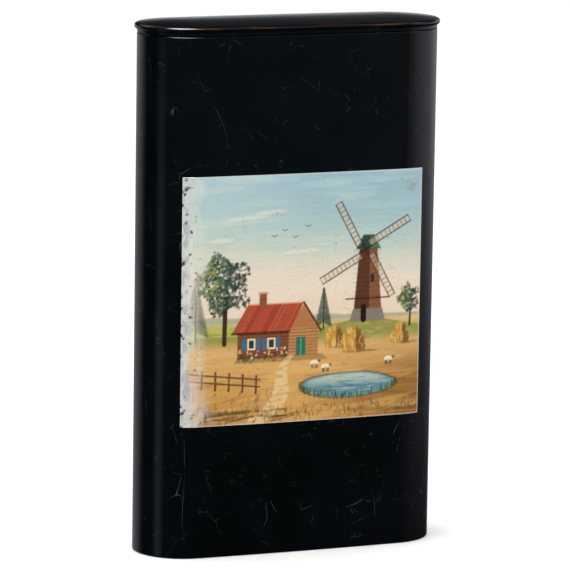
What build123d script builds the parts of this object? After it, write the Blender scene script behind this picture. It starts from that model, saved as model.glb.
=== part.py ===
"""Lacquer cigar box: a flat oval tube of papier-mache with a thin crowned lid hinged along its back.

Millimetres, +Z up, origin at the centre of the underside. The painted front faces -Y and the hinge is at +Y.
"""

from build123d import *
from math import atan2, cos, hypot, radians, sin, sqrt, tan
import os

# Oval plan, as four tangent arcs: two nearly flat faces and two round ends
BODY_WIDTH = 79.0
BODY_DEPTH = 25.8
END_RADIUS = 12.4

# Tube, base board and collar
BODY_HEIGHT = 130.5
WALL = 2.5
BASE_THICKNESS = 3.0
BASE_EDGE_ROUND = 0.5
RIM_EDGE_ROUND = 0.3
COLLAR_THICKNESS = 0.9
COLLAR_DEPTH = 14.0
LIP_HEIGHT = 1.3
LIP_EDGE_ROUND = 0.25

# Lid
SEAM_GAP = 0.25
LID_RIM_HEIGHT = 1.3
LID_RIM_CLEARANCE = 0.2
BEAD_LIFT = 0.7
BEAD_HEIGHT = 1.5
BEAD_OVERHANG = 0.65
BEAD_SHOULDER = 0.9
CROWN_RISE = 0.7
RIDGE_HALF_WIDTH = 0.5
LINING_THICKNESS = 0.3
LINING_CLEARANCE = 0.3

# Painted panel: a thin ground and paint layer let into the front
PANEL_WIDTH = 64.4
PANEL_HEIGHT = 62.6
PANEL_BOTTOM = 33.4
PANEL_THICKNESS = 0.2
PANEL_PROUD = 0.05
PANEL_CORNER_ROUND = 0.4

# Hinge: two rolled brass leaves on a steel pin
HINGE_LENGTH = 40.0
KNUCKLES = 5
KNUCKLE_GAP = 0.15
BARREL_RADIUS = 1.0
PIN_RADIUS = 0.5
PIN_CLEARANCE = 0.05
AXIS_INSET = 0.8
LEAF_THICKNESS = 0.4
BODY_LEAF_DROP = 9.0
LID_FLANGE_REACH = 6.0
LID_FLANGE_THICKNESS = 0.3
HINGE_CLEARANCE = 0.15
LEAF_CLEARANCE = 0.05
STOP_BEVEL_DEGREES = 50.0

# Brads that pin the leaves
BRADS_PER_LEAF = 3
BRAD_RADIUS = 0.35
BRAD_END_MARGIN = 6.0
BRAD_CLEARANCE = 0.02
BODY_BRAD_LENGTH = 2.0
BODY_BRAD_DROP = 5.5
LID_BRAD_LENGTH = 0.85

# Places worked out from the sizes
END_CENTRE = BODY_WIDTH / 2 - END_RADIUS
BACK = BODY_DEPTH / 2
FACE_RADIUS = (END_CENTRE**2 + BACK**2 - END_RADIUS**2) / (BODY_DEPTH - 2 * END_RADIUS)
FACE_CENTRE = FACE_RADIUS - BACK
AXIS_Y = BACK - AXIS_INSET
AXIS_Z = BODY_HEIGHT + SEAM_GAP / 2
LEAF_FRONT = AXIS_Y - BARREL_RADIUS
LEAF_BACK = LEAF_FRONT + LEAF_THICKNESS
GROOVE_RADIUS = BARREL_RADIUS + HINGE_CLEARANCE
HALF_HINGE = HINGE_LENGTH / 2
LID_BOTTOM = BODY_HEIGHT + SEAM_GAP
LID_CEILING = LID_BOTTOM + LID_RIM_HEIGHT
BEAD_BOTTOM = LID_BOTTOM + BEAD_LIFT
BEAD_MIDDLE = BEAD_BOTTOM + BEAD_HEIGHT / 2
BEAD_TOP = BEAD_BOTTOM + BEAD_HEIGHT
CROWN_TOP = BEAD_TOP + CROWN_RISE
BODY_BRAD_Z = AXIS_Z - BODY_BRAD_DROP
LID_BRAD_Y = LEAF_FRONT - LID_FLANGE_REACH / 2

# How far a cutting shape runs past what it cuts
OVERCUT = 1.0


def oval(inset=0.0):
    """The plan outline as a wire, offset inwards by inset, or outwards where it is negative."""
    end_r = END_RADIUS - inset
    lean = atan2(FACE_CENTRE, END_CENTRE)
    tangent_x = END_CENTRE + end_r * cos(lean)
    tangent_y = end_r * sin(lean)
    end_x = END_CENTRE + end_r
    face_y = BACK - inset
    right = ThreePointArc((tangent_x, -tangent_y), (end_x, 0), (tangent_x, tangent_y))
    back = ThreePointArc((tangent_x, tangent_y), (0, face_y), (-tangent_x, tangent_y))
    left = ThreePointArc((-tangent_x, tangent_y), (-end_x, 0), (-tangent_x, -tangent_y))
    front = ThreePointArc((-tangent_x, -tangent_y), (0, -face_y), (tangent_x, -tangent_y))
    return Wire([right.edge(), back.edge(), left.edge(), front.edge()])


def prism(inset, low, high):
    """A solid of the plan outline between two heights."""
    return extrude(Pos(0, 0, low) * Face(oval(inset)), high - low, (0, 0, 1))


def ring(outer_inset, inner_inset, low, high):
    """A closed wall of the plan outline between two insets and two heights."""
    return prism(outer_inset, low, high) - prism(inner_inset, low - OVERCUT, high + OVERCUT)


def block(low, high):
    """A box between two corners."""
    size = [h - l for l, h in zip(low, high)]
    centre = [(h + l) / 2 for l, h in zip(low, high)]
    return Pos(*centre) * Box(*size)


def rod_x(radius, left, right):
    """A round bar along the hinge axis."""
    return Pos((left + right) / 2, AXIS_Y, AXIS_Z) * Rot(0, 90, 0) * Cylinder(radius, right - left)


def edges_at(solid, height):
    """The edges that lie flat at one height."""
    flat = solid.edges().filter_by(lambda e: e.bounding_box().size.Z < 1e-4)
    return flat.filter_by(lambda e: abs(e.center().Z - height) < 1e-4)


def brad_places():
    """The X places of one row of brads, evenly spaced between the two ends of a leaf."""
    first = BRAD_END_MARGIN - HALF_HINGE
    spacing = -2 * first / (BRADS_PER_LEAF - 1)
    return [first + spacing * i for i in range(BRADS_PER_LEAF)]


def knuckle_spans(first):
    """The left and right end of every other knuckle along the hinge, from the given one."""
    pitch = (HINGE_LENGTH + KNUCKLE_GAP) / KNUCKLES
    starts = [pitch * i - HALF_HINGE for i in range(first, KNUCKLES, 2)]
    return [(start, start + pitch - KNUCKLE_GAP) for start in starts]


def stop_bevel(side):
    """The wedge planed off a rim behind the hinge axis, which stops the lid: side is -1 below, 1 above."""
    reach = BODY_DEPTH
    rise = side * reach * tan(radians(STOP_BEVEL_DEGREES))
    corners = [(AXIS_Y, AXIS_Z), (AXIS_Y + reach, AXIS_Z), (AXIS_Y + reach, AXIS_Z + rise)]
    profile = Plane.YZ * make_face(Polyline(*corners, close=True))
    return extrude(profile, BODY_WIDTH, both=True)


def hinge_groove():
    """The round channel that the barrel turns in, cut from both rims."""
    half = HALF_HINGE + HINGE_CLEARANCE
    return rod_x(GROOVE_RADIUS, -half, half)


def panel_space():
    """The space in front of the middle of the box, as wide and as tall as the painted panel."""
    half = PANEL_WIDTH / 2
    slab = block((-half, -BODY_DEPTH, PANEL_BOTTOM), (half, 0, PANEL_BOTTOM + PANEL_HEIGHT))
    return fillet(slab.edges().filter_by(Axis.Y), PANEL_CORNER_ROUND)


def body_brad(x, grow=0.0):
    """A brad driven from the back through the body leaf, filed flush with the back."""
    tip = BACK - BODY_BRAD_LENGTH
    end = BACK + OVERCUT
    shank = Pos(x, (tip + end) / 2, BODY_BRAD_Z) * Rot(90, 0, 0) * Cylinder(BRAD_RADIUS + grow, end - tip)
    return shank & prism(0, BODY_BRAD_Z - OVERCUT, BODY_BRAD_Z + OVERCUT)


def lid_brad(x, grow=0.0):
    """A brad driven up through the flange of the lid leaf into the board."""
    middle = LID_CEILING + LID_BRAD_LENGTH / 2
    return Pos(x, LID_BRAD_Y, middle) * Cylinder(BRAD_RADIUS + grow, LID_BRAD_LENGTH)


def body_tube():
    """Outer tube of wound card, lacquered, with its hinge seat and the bed of the painted panel."""
    tube = prism(0, 0, BODY_HEIGHT)
    tube = fillet(edges_at(tube, 0), BASE_EDGE_ROUND)
    tube = fillet(edges_at(tube, BODY_HEIGHT), RIM_EDGE_ROUND)
    tube -= prism(WALL, -OVERCUT, BODY_HEIGHT + OVERCUT)
    tube -= ring(-OVERCUT, PANEL_THICKNESS - PANEL_PROUD, 0, BODY_HEIGHT) & panel_space()
    tube -= stop_bevel(-1)
    tube -= hinge_groove()
    half = HALF_HINGE + LEAF_CLEARANCE
    slot_foot = AXIS_Z - BODY_LEAF_DROP - LEAF_CLEARANCE
    slot_front = LEAF_FRONT - LEAF_CLEARANCE
    tube -= block((-half, slot_front, slot_foot), (half, LEAF_BACK + LEAF_CLEARANCE, AXIS_Z))
    for x in brad_places():
        tube -= body_brad(x, BRAD_CLEARANCE)
    return tube


def base_board():
    """Board glued into the foot of the tube."""
    return prism(WALL, 0, BASE_THICKNESS)


def mouth_collar():
    """Sleeve glued into the mouth, whose upper edge stands proud as the lip that the lid closes over."""
    top = BODY_HEIGHT + LIP_HEIGHT
    collar = ring(WALL, WALL + COLLAR_THICKNESS, BODY_HEIGHT - COLLAR_DEPTH, top)
    return fillet(edges_at(collar, top), LIP_EDGE_ROUND)


def painted_panel():
    """Painted ground on the front face, following its bow."""
    return ring(-PANEL_PROUD, PANEL_THICKNESS - PANEL_PROUD, 0, BODY_HEIGHT) & panel_space()


def hinge_body_leaf():
    """Brass leaf let into the back wall, with every other knuckle from the first."""
    foot, top = AXIS_Z - BODY_LEAF_DROP, AXIS_Z - GROOVE_RADIUS
    leaf = block((-HALF_HINGE, LEAF_FRONT, foot), (HALF_HINGE, LEAF_BACK, top))
    for left, right in knuckle_spans(0):
        leaf += rod_x(BARREL_RADIUS, left, right)
        leaf += block((left, LEAF_FRONT, top), (right, LEAF_BACK, AXIS_Z))
    leaf -= rod_x(PIN_RADIUS + PIN_CLEARANCE, -HINGE_LENGTH, HINGE_LENGTH)
    for x in brad_places():
        leaf -= body_brad(x, BRAD_CLEARANCE)
    return leaf


def hinge_lid_leaf():
    """Brass leaf bent forward under the lid board, with the knuckles between those of the body leaf."""
    flange_front = LEAF_FRONT - LID_FLANGE_REACH
    flange_top = LID_CEILING + LID_FLANGE_THICKNESS
    leaf = block((-HALF_HINGE, flange_front, LID_CEILING), (HALF_HINGE, LEAF_BACK, flange_top))
    for left, right in knuckle_spans(1):
        leaf += rod_x(BARREL_RADIUS, left, right)
        leaf += block((left, LEAF_FRONT, AXIS_Z), (right, LEAF_BACK, LID_CEILING))
    leaf -= rod_x(PIN_RADIUS + PIN_CLEARANCE, -HINGE_LENGTH, HINGE_LENGTH)
    for x in brad_places():
        leaf -= lid_brad(x, BRAD_CLEARANCE)
    return leaf


def hinge_pin():
    """Steel wire through the barrel, cut flush with it."""
    return rod_x(PIN_RADIUS, -HALF_HINGE, HALF_HINGE)


def crown_height(run, rise, back_off):
    """How far the crown's arc lies below its top, a given way out from the ridge."""
    radius = (run**2 + rise**2) / (2 * rise)
    return radius - sqrt(radius**2 - back_off**2)


def lid_section():
    """Half section of the lid board at its right end, from the ridge out to the bead."""
    nose = END_CENTRE + END_RADIUS + BEAD_OVERHANG
    foot = nose - BEAD_OVERHANG
    shoulder = nose - BEAD_SHOULDER
    ridge = END_CENTRE + RIDGE_HALF_WIDTH
    run = shoulder - ridge
    arc_middle = (ridge + run / 2, CROWN_TOP - crown_height(run, CROWN_RISE, run / 2))
    slope = 2 * CROWN_RISE / hypot(run, 2 * CROWN_RISE)
    pull = BEAD_HEIGHT / 3
    under = Bezier((foot, BEAD_BOTTOM), (foot + pull, BEAD_BOTTOM),
                   (nose, BEAD_MIDDLE - pull), (nose, BEAD_MIDDLE))
    over = Bezier((nose, BEAD_MIDDLE), (nose, BEAD_MIDDLE + pull),
                  (shoulder + pull, BEAD_TOP - pull * slope), (shoulder, BEAD_TOP))
    crown = ThreePointArc((shoulder, BEAD_TOP), arc_middle, (ridge, CROWN_TOP))
    inner = Polyline((ridge, CROWN_TOP), (ridge, BEAD_BOTTOM), (foot, BEAD_BOTTOM))
    return make_face(Plane.XZ * (under + over + crown + inner))


def lid_board():
    """Crowned lid board with a rounded bead, hollowed beneath for the rim and the hinge flange."""
    board = sweep(lid_section(), path=Pos(0, 0, BEAD_BOTTOM) * oval())
    board += prism(END_RADIUS - RIDGE_HALF_WIDTH, BEAD_BOTTOM, CROWN_TOP)
    board -= prism(0, BEAD_BOTTOM - OVERCUT, LID_CEILING)
    half = HALF_HINGE + LEAF_CLEARANCE
    flange_front = LEAF_FRONT - LID_FLANGE_REACH - LEAF_CLEARANCE
    recess_top = LID_CEILING + LID_FLANGE_THICKNESS + LEAF_CLEARANCE
    recess_back = LEAF_BACK + LEAF_CLEARANCE
    board -= block((-half, flange_front, LID_CEILING - OVERCUT), (half, recess_back, recess_top))
    for x in brad_places():
        board -= lid_brad(x, BRAD_CLEARANCE)
    board -= stop_bevel(1)
    board -= hinge_groove()
    return board


def lid_rim():
    """Ring glued under the lid board that drops over the lip, open at the back for the hinge."""
    rim = ring(0, WALL - LID_RIM_CLEARANCE, LID_BOTTOM, LID_CEILING)
    half = HALF_HINGE + HINGE_CLEARANCE
    rim -= stop_bevel(1)
    rim -= block((-half, 0, LID_BOTTOM - OVERCUT), (half, BODY_DEPTH, LID_CEILING + OVERCUT))
    return rim


def lid_lining():
    """Thin lacquered card under the lid board, which sits inside the lip and covers the hinge flange."""
    inset = WALL + COLLAR_THICKNESS + LINING_CLEARANCE
    return prism(inset, LID_CEILING - LINING_THICKNESS, LID_CEILING)


def all_parts():
    """Every sub-part by its name."""
    parts = {
        "body_tube": body_tube(),
        "base_board": base_board(),
        "mouth_collar": mouth_collar(),
        "painted_panel": painted_panel(),
        "hinge_body_leaf": hinge_body_leaf(),
        "hinge_pin": hinge_pin(),
        "hinge_lid_leaf": hinge_lid_leaf(),
        "lid_board": lid_board(),
        "lid_rim": lid_rim(),
        "lid_lining": lid_lining(),
    }
    for number, x in enumerate(brad_places(), 1):
        parts[f"body_brad_{number}"] = body_brad(x)
        parts[f"lid_brad_{number}"] = lid_brad(x)
    return parts


os.makedirs("parts", exist_ok=True)
for name, shape in all_parts().items():
    export_step(shape, f"parts/{name}.step")
    box = shape.bounding_box()
    print(name, len(shape.solids()), "solid", round(shape.volume, 1), "mm3, top", round(box.max.Z, 2))
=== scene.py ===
# %% [markdown]
# # A lacquer cigar box with a painted panel
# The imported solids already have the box's real shape: an oval tube of papier-mache, a thin crowned lid, a
# lip inside the mouth and a small brass hinge. This script gives them their finishes, paints the panel and
# sets up the studio. Everything is in metres, in the frame of the solids: Z is up, and the painted front
# faces -Y.

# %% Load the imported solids
import math

import bpy
import mathutils
import numpy as np
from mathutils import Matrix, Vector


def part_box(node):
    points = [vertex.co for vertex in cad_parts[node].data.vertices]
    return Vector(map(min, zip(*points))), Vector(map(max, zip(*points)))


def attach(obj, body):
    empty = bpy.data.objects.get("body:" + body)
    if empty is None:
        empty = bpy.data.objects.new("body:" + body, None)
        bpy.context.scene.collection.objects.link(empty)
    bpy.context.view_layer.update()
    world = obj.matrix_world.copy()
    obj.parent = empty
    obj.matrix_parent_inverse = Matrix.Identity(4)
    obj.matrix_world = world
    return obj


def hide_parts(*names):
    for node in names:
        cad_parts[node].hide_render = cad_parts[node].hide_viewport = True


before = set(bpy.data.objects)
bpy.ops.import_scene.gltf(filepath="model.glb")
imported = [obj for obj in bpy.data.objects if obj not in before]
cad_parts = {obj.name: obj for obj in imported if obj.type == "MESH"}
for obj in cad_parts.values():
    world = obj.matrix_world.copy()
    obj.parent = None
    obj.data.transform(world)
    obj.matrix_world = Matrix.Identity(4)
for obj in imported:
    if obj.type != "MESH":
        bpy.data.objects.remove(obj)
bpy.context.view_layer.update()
MM = 0.001

# %% [markdown]
# ## Places that the finishes need
# A finish has to know where it is: the red lacquer lines the inside, and the rubbed streaks keep to the
# lid's bead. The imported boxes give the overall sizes. Only the radius of the round ends isn't a side of
# any box, so it is named here.

# %% Read the sizes from the frame
BODY_LOW, BODY_HIGH = (np.array(corner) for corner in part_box("body_tube"))
RIM_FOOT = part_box("lid_rim")[0][2]
LID_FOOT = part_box("lid_board")[0][2]
PANEL_LOW, PANEL_HIGH = (np.array(corner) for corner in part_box("painted_panel"))
END_RADIUS = 12.4 * MM
HALF_WIDTH = BODY_HIGH[0]
HALF_DEPTH = -BODY_LOW[1]
END_CENTRE = HALF_WIDTH - END_RADIUS
FACE_RADIUS = (END_CENTRE**2 + HALF_DEPTH**2 - END_RADIUS**2) / (2 * HALF_DEPTH - 2 * END_RADIUS)
print("The flat faces bow on a radius of", round(FACE_RADIUS / MM), "mm")

# %% [markdown]
# ## Helpers for the finishes
# Colours are written as sRGB hex values, the way a painter's chart gives them, and a shader wants them
# linear. One function adds any node with its settings and links, and one starts a material with its
# surface shader. The other two think as a painter does: where a coat goes is a set of limits with soft
# edges, and a coat covers the colour under it as far as such shares say.


# %% Colour, node and material helpers
def linear(hex_colour):
    """The linear red, green, blue and alpha of an sRGB hex colour."""
    coded = np.array([int(hex_colour[i:i + 2], 16) for i in (1, 3, 5)]) / 255
    light = np.where(coded <= 0.04045, coded / 12.92, ((coded + 0.055) / 1.055) ** 2.4)
    return (*light.tolist(), 1.0)


def node(material, kind, inputs=None, **settings):
    """Add one node: settings are its properties, and an input is a value or another node's output."""
    made = material.node_tree.nodes.new(kind)
    for name, value in settings.items():
        setattr(made, name, value)
    for name, value in (inputs or {}).items():
        if isinstance(value, bpy.types.NodeSocket):
            material.node_tree.links.new(value, made.inputs[name])
        else:
            made.inputs[name].default_value = value
    return made


def new_material(name, **constants):
    """Start a node material whose surface is one Principled shader, its constants on its own sockets."""
    material = bpy.data.materials.new(name)
    material.use_nodes = True
    shader = material.node_tree.nodes["Principled BSDF"]
    for socket, value in constants.items():
        shader.inputs[socket.replace("_", " ")].default_value = value
    return material, shader


def connect(material, output, socket):
    """Link an output to a socket."""
    material.node_tree.links.new(output, socket)


def within(material, *limits):
    """How far a point keeps to all limits. A limit is a value and where it counts as 0 and as 1: the value
    goes through a soft step between those two places, and the steps are multiplied."""
    share = 1.0
    for value, none, full in limits:
        step = node(material, "ShaderNodeMapRange", {0: value, 1: none, 2: full},
                    interpolation_type="SMOOTHSTEP")
        share = node(material, "ShaderNodeMath", {0: share, 1: step.outputs[0]},
                     operation="MULTIPLY").outputs[0]
    return share


def cover(material, under, over, *shares):
    """The colour under, covered by the colour over as far as the shares multiplied together say."""
    amount = 1.0
    for share in shares:
        amount = node(material, "ShaderNodeMath", {0: amount, 1: share}, operation="MULTIPLY").outputs[0]
    mixed = node(material, "ShaderNodeMix", {0: amount, 6: under, 7: over}, data_type="RGBA",
                 clamp_factor=True)
    return mixed.outputs[2]


# %% [markdown]
# ## Old black lacquer
# Papier-mache was coated many times with black varnish, baked and polished. It is nearly black with a cold
# blue-green cast, glossy, and after a century and a half it has cracks as fine as hairs, which hold a
# little dust and so look paler than the coat. Shrinking varnish cracks into cells, so the edges of a
# Voronoi pattern, pushed about by a noise, give the right forks and bends. A second noise hides most of
# each net, because only short lengths show on the real coat. A few specks of dust are the near points of
# another Voronoi pattern.


# %% Hairline cracks, specks and polish of the lacquer
CRACK_WIDTH = 0.055 * MM
CRACK_NETS = (
    {"spacing": 8.0 * MM, "stretch": (1.0, 1.0, 0.75), "showing": 0.38, "seed": 1.0},
    {"spacing": 4.0 * MM, "stretch": (0.45, 0.45, 1.6), "showing": 0.24, "seed": 5.0},
    {"spacing": 3.4 * MM, "stretch": (1.1, 1.1, 0.8), "showing": 0.22, "seed": 8.0},
    {"spacing": 26.0 * MM, "stretch": (1.0, 1.0, 0.5), "showing": 0.34, "seed": 9.0},
)
CRACK_DEPTH = 0.01 * MM
CRACK_BEND = 0.8
DUST_PATCH = 6.25 * MM
DUSTIEST_BELOW, CLEANEST_ABOVE, CLEANEST = 30 * MM, 90 * MM, 0.6
CLOUD_SIZE = 16.67 * MM
SPECK_SPACING = 5.0 * MM
SPECK_RADIUS = 0.13 * MM


def object_place(material, stretch=(1.0, 1.0, 1.0), seed=0.0):
    """Object coordinates, stretched and moved away from other patterns by a seed."""
    place = node(material, "ShaderNodeTexCoord").outputs["Object"]
    moved = node(material, "ShaderNodeMapping", {"Vector": place, "Scale": stretch,
                                                 "Location": (seed,) * 3})
    return moved.outputs[0]


def hairlines(material, spacing, stretch, showing, seed):
    """Thin cracks: the edges of stretched, bent cells a spacing across, of which a noise shows a share."""
    scale = [part / spacing for part in stretch]
    place = object_place(material, scale, seed * 7)
    bends = node(material, "ShaderNodeTexNoise", {"Vector": place, "Scale": 0.9, "Detail": 1.5})
    pushed = node(material, "ShaderNodeVectorMath", {0: bends.outputs["Color"], 1: (0.5, 0.5, 0.5)},
                  operation="SUBTRACT")
    pushed = node(material, "ShaderNodeVectorMath", {0: pushed.outputs[0], "Scale": CRACK_BEND},
                  operation="SCALE")
    bent = node(material, "ShaderNodeVectorMath", {0: place, 1: pushed.outputs[0]}, operation="ADD")
    cells = node(material, "ShaderNodeTexVoronoi", {"Vector": bent.outputs[0], "Scale": 1.0},
                 feature="DISTANCE_TO_EDGE")
    patches = node(material, "ShaderNodeTexNoise", {"Vector": object_place(material, seed=seed),
                                                    "Scale": 0.9 / spacing, "Detail": 3.0,
                                                    "Roughness": 0.6})
    edge = 0.68 - 0.4 * showing
    width = CRACK_WIDTH / spacing
    return within(material, (cells.outputs["Distance"], 0.6 * width, 0.25 * width),
                  (patches.outputs["Fac"], edge, edge + 0.1))


def lacquer(name, coat, crack, cast, roughness, strength=1.0):
    """Polished lacquer: a coat, clouds of a second cast in it, and cracks and specks that hold dust."""
    material, shader = new_material(name, Roughness=roughness, IOR=1.5)
    place = object_place(material)
    clouds = node(material, "ShaderNodeTexNoise", {"Vector": place, "Scale": 1 / CLOUD_SIZE,
                                                   "Detail": 3.0})
    cloudy = within(material, (clouds.outputs["Fac"], 0.35, 0.7))
    colour = cover(material, linear(coat), linear(cast), cloudy)
    cracks = hairlines(material, **CRACK_NETS[0])
    for net in CRACK_NETS[1:]:
        cracks = node(material, "ShaderNodeMath", {0: cracks, 1: hairlines(material, **net)},
                      operation="MAXIMUM").outputs[0]
    dust = node(material, "ShaderNodeTexNoise", {"Vector": object_place(material, seed=7.0),
                                                 "Scale": 1 / DUST_PATCH})
    height = node(material, "ShaderNodeSeparateXYZ", {0: place}).outputs["Z"]
    low_down = node(material, "ShaderNodeMapRange", {0: height, 1: DUSTIEST_BELOW, 2: CLEANEST_ABOVE,
                                                     3: 1.0, 4: CLEANEST})
    dusty = within(material, (dust.outputs["Fac"], 0.3, 0.7))
    colour = cover(material, colour, linear(crack), cracks, dusty, low_down.outputs[0], strength)
    dots = node(material, "ShaderNodeTexVoronoi", {"Vector": place, "Scale": 1 / SPECK_SPACING})
    chosen = node(material, "ShaderNodeSeparateColor", {0: dots.outputs["Color"]})
    radius = SPECK_RADIUS / SPECK_SPACING
    specks = within(material, (dots.outputs["Distance"], radius, 0.4 * radius),
                    (chosen.outputs["Red"], 0.82, 0.9))
    colour = cover(material, colour, linear(crack), specks, strength)
    connect(material, colour, shader.inputs["Base Color"])
    bump = node(material, "ShaderNodeBump", {"Height": cracks, "Distance": CRACK_DEPTH, "Strength": 0.4},
                invert=True)
    connect(material, bump.outputs[0], shader.inputs["Normal"])
    return material, shader, colour


# %% [markdown]
# The body is one solid inside and out, and so is the collar, so their material finds the inside by itself:
# where a point lies closer to the line between the two end centres than that wall's middle does, the
# lacquer is red. The faces bow outwards, so their bow comes off first. The rim and the outside of the lip
# stay black, which keeps the seam under the lid dark.

# %% Materials for the body, the collar and the red inside
COAT, COAT_CAST, COAT_CRACK = "#010405", "#04070a", "#4f5957"
RED, RED_CAST, RED_CRACK = "#8a1610", "#6e110d", "#2c0806"
RED_IN_BODY = 10.0 * MM
RED_IN_COLLAR = 9.45 * MM
RED_ABOVE = 0.75 * MM
POLISH = 0.14


def lined_lacquer(name, reach):
    """Black lacquer that turns red closer than a given reach to the spine of the oval."""
    material, shader, colour = lacquer(name, COAT, COAT_CRACK, COAT_CAST, POLISH)
    place = node(material, "ShaderNodeTexCoord").outputs["Object"]
    axes = node(material, "ShaderNodeSeparateXYZ", {0: place})
    away = node(material, "ShaderNodeMath", {0: axes.outputs["X"]}, operation="ABSOLUTE")
    past = node(material, "ShaderNodeMath", {0: away.outputs[0], 1: END_CENTRE}, operation="SUBTRACT")
    past = node(material, "ShaderNodeMath", {0: past.outputs[0], 1: 0.0}, operation="MAXIMUM")
    flat = node(material, "ShaderNodeCombineXYZ", {"X": past.outputs[0], "Y": axes.outputs["Y"]})
    far = node(material, "ShaderNodeVectorMath", {0: flat.outputs[0]}, operation="LENGTH")
    along = node(material, "ShaderNodeMath", {0: away.outputs[0], 1: END_CENTRE}, operation="DIVIDE")
    bow = node(material, "ShaderNodeMath", {0: along.outputs[0], 1: 2.0}, operation="POWER")
    bow = node(material, "ShaderNodeMath", {0: 1.0, 1: bow.outputs[0]}, operation="SUBTRACT",
               use_clamp=True)
    bow = node(material, "ShaderNodeMath", {0: bow.outputs[0], 1: HALF_DEPTH - END_RADIUS},
               operation="MULTIPLY")
    spine = node(material, "ShaderNodeMath", {0: far.outputs["Value"], 1: bow.outputs[0]},
                 operation="SUBTRACT")
    inside = within(material, (spine.outputs[0], reach + 0.05 * MM, reach - 0.05 * MM),
                    (axes.outputs["Z"], RED_ABOVE - 0.25 * MM, RED_ABOVE + 0.25 * MM))
    connect(material, cover(material, colour, linear(RED), inside), shader.inputs["Base Color"])
    return material


black = lined_lacquer("black_lacquer", RED_IN_BODY)
lip = lined_lacquer("black_lacquer_lip", RED_IN_COLLAR)
red, _, _ = lacquer("red_lacquer", RED, RED_CRACK, RED_CAST, 0.2, strength=0.5)
print("Lacquers:", black.name, lip.name, red.name)

# %% [markdown]
# ## The rubbed lid
# Hands opened the box by its bead, so the black coat is rubbed through there in short streaks, down to the
# red-brown ground. The streaks lie along the bead, so their noise is stretched along X, and they keep to a
# band of height on the bead's upper shoulder.

# %% Material of the lid with rubbed streaks
RUBBED = "#4a2419"
STREAK_SIZE = np.array([9.09, 3.33, 0.4545]) * MM
BAND_FOOT = (LID_FOOT + RIM_FOOT) / 2 + 1.2 * MM
BAND_TOP = BAND_FOOT + 0.6 * MM
BAND_SOFTNESS = 0.1 * MM
WORN_THROUGH = 0.8

lid_black, lid_shader, lid_colour = lacquer("black_lacquer_rubbed", COAT, COAT_CRACK, COAT_CAST, POLISH,
                                            strength=0.5)
place = object_place(lid_black, 1 / STREAK_SIZE)
streaks = node(lid_black, "ShaderNodeTexNoise", {"Vector": place, "Scale": 1.0, "Detail": 3.0})
height = node(lid_black, "ShaderNodeSeparateXYZ", {0: object_place(lid_black)}).outputs["Z"]
worn = within(lid_black, (height, BAND_FOOT - BAND_SOFTNESS, BAND_FOOT + BAND_SOFTNESS),
              (height, BAND_TOP + BAND_SOFTNESS, BAND_TOP - BAND_SOFTNESS),
              (streaks.outputs["Fac"], 0.5, 0.68))
connect(lid_black, cover(lid_black, lid_colour, linear(RUBBED), worn, WORN_THROUGH),
        lid_shader.inputs["Base Color"])
print("The streaks lie from", round(BAND_FOOT / MM, 2), "to", round(BAND_TOP / MM, 2), "mm up")

# %% [markdown]
# ## Hinge brass and pin steel
# The leaves are rolled from sheet brass, with fine drawn lines along the hinge, and age has dulled them
# brown in spots. The pin is a drawn steel wire. Both are metals, so the shader tints what they mirror with
# their colour, and a noise stretched along X gives the lines.

# %% Brass and steel
ROLLED_LINE = np.array([8.33, 0.25, 0.25]) * MM
DRAWN_LINE = np.array([12.5, 0.2, 0.2]) * MM
TARNISH_SPOT = 1.43 * MM
BRASS, TARNISH = "#b08d4a", "#6a4b26"
STEEL, DULL_STEEL = "#8c8d8f", "#5d5c5a"

brass, brass_shader = new_material("aged_rolled_brass", Metallic=1.0)
lines = node(brass, "ShaderNodeTexNoise", {"Vector": object_place(brass, 1 / ROLLED_LINE), "Scale": 1.0,
                                           "Detail": 4.0})
spots = node(brass, "ShaderNodeTexNoise", {"Vector": object_place(brass), "Scale": 1 / TARNISH_SPOT,
                                           "Detail": 3.0})
brown = within(brass, (spots.outputs["Fac"], 0.42, 0.68))
connect(brass, cover(brass, linear(BRASS), linear(TARNISH), brown), brass_shader.inputs["Base Color"])
rough = node(brass, "ShaderNodeMapRange", {0: lines.outputs["Fac"], 3: 0.28, 4: 0.5})
connect(brass, rough.outputs[0], brass_shader.inputs["Roughness"])

steel, steel_shader = new_material("drawn_steel_wire", Metallic=1.0)
lines = node(steel, "ShaderNodeTexNoise", {"Vector": object_place(steel, 1 / DRAWN_LINE), "Scale": 1.0,
                                           "Detail": 3.0})
connect(steel, cover(steel, linear(STEEL), linear(DULL_STEEL), lines.outputs["Fac"]),
        steel_shader.inputs["Base Color"])
rough = node(steel, "ShaderNodeMapRange", {0: lines.outputs["Fac"], 3: 0.25, 4: 0.4})
connect(steel, rough.outputs[0], steel_shader.inputs["Roughness"])
print("Metals:", brass.name, steel.name)

# %% [markdown]
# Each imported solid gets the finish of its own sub-part. Those that aren't in the list are the hinge's two
# leaves and its six brads, and they are brass. The panel gets none, because a painted sheet takes its
# place below.

# %% Put the finishes on the solids
FINISHES = {
    "body_tube": black, "base_board": black, "lid_rim": black, "lid_board": lid_black,
    "mouth_collar": lip, "lid_lining": red, "hinge_pin": steel,
}
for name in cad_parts:
    if name == "painted_panel":
        continue
    solid = bpy.data.objects[name]
    finish = FINISHES.get(name, brass)
    if not solid.material_slots:
        solid.data.materials.append(finish)
    for slot in solid.material_slots:
        slot.material = finish
print("Finished", len(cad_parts) - 1, "solids")

# %% [markdown]
# ## The painted panel
# The panel is a thin sheet of oil paint on a pale ground that follows the bow of the front. The picture
# here is a generic country scene made for this box: a windmill on a rise, a cottage and trees, a pond and
# a path. It is painted the way a decorator would, from the sky forward to the grass, on a grid of points
# that are also the sheet's own vertices, so each point carries its paint in a colour attribute and no
# image is needed.

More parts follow.
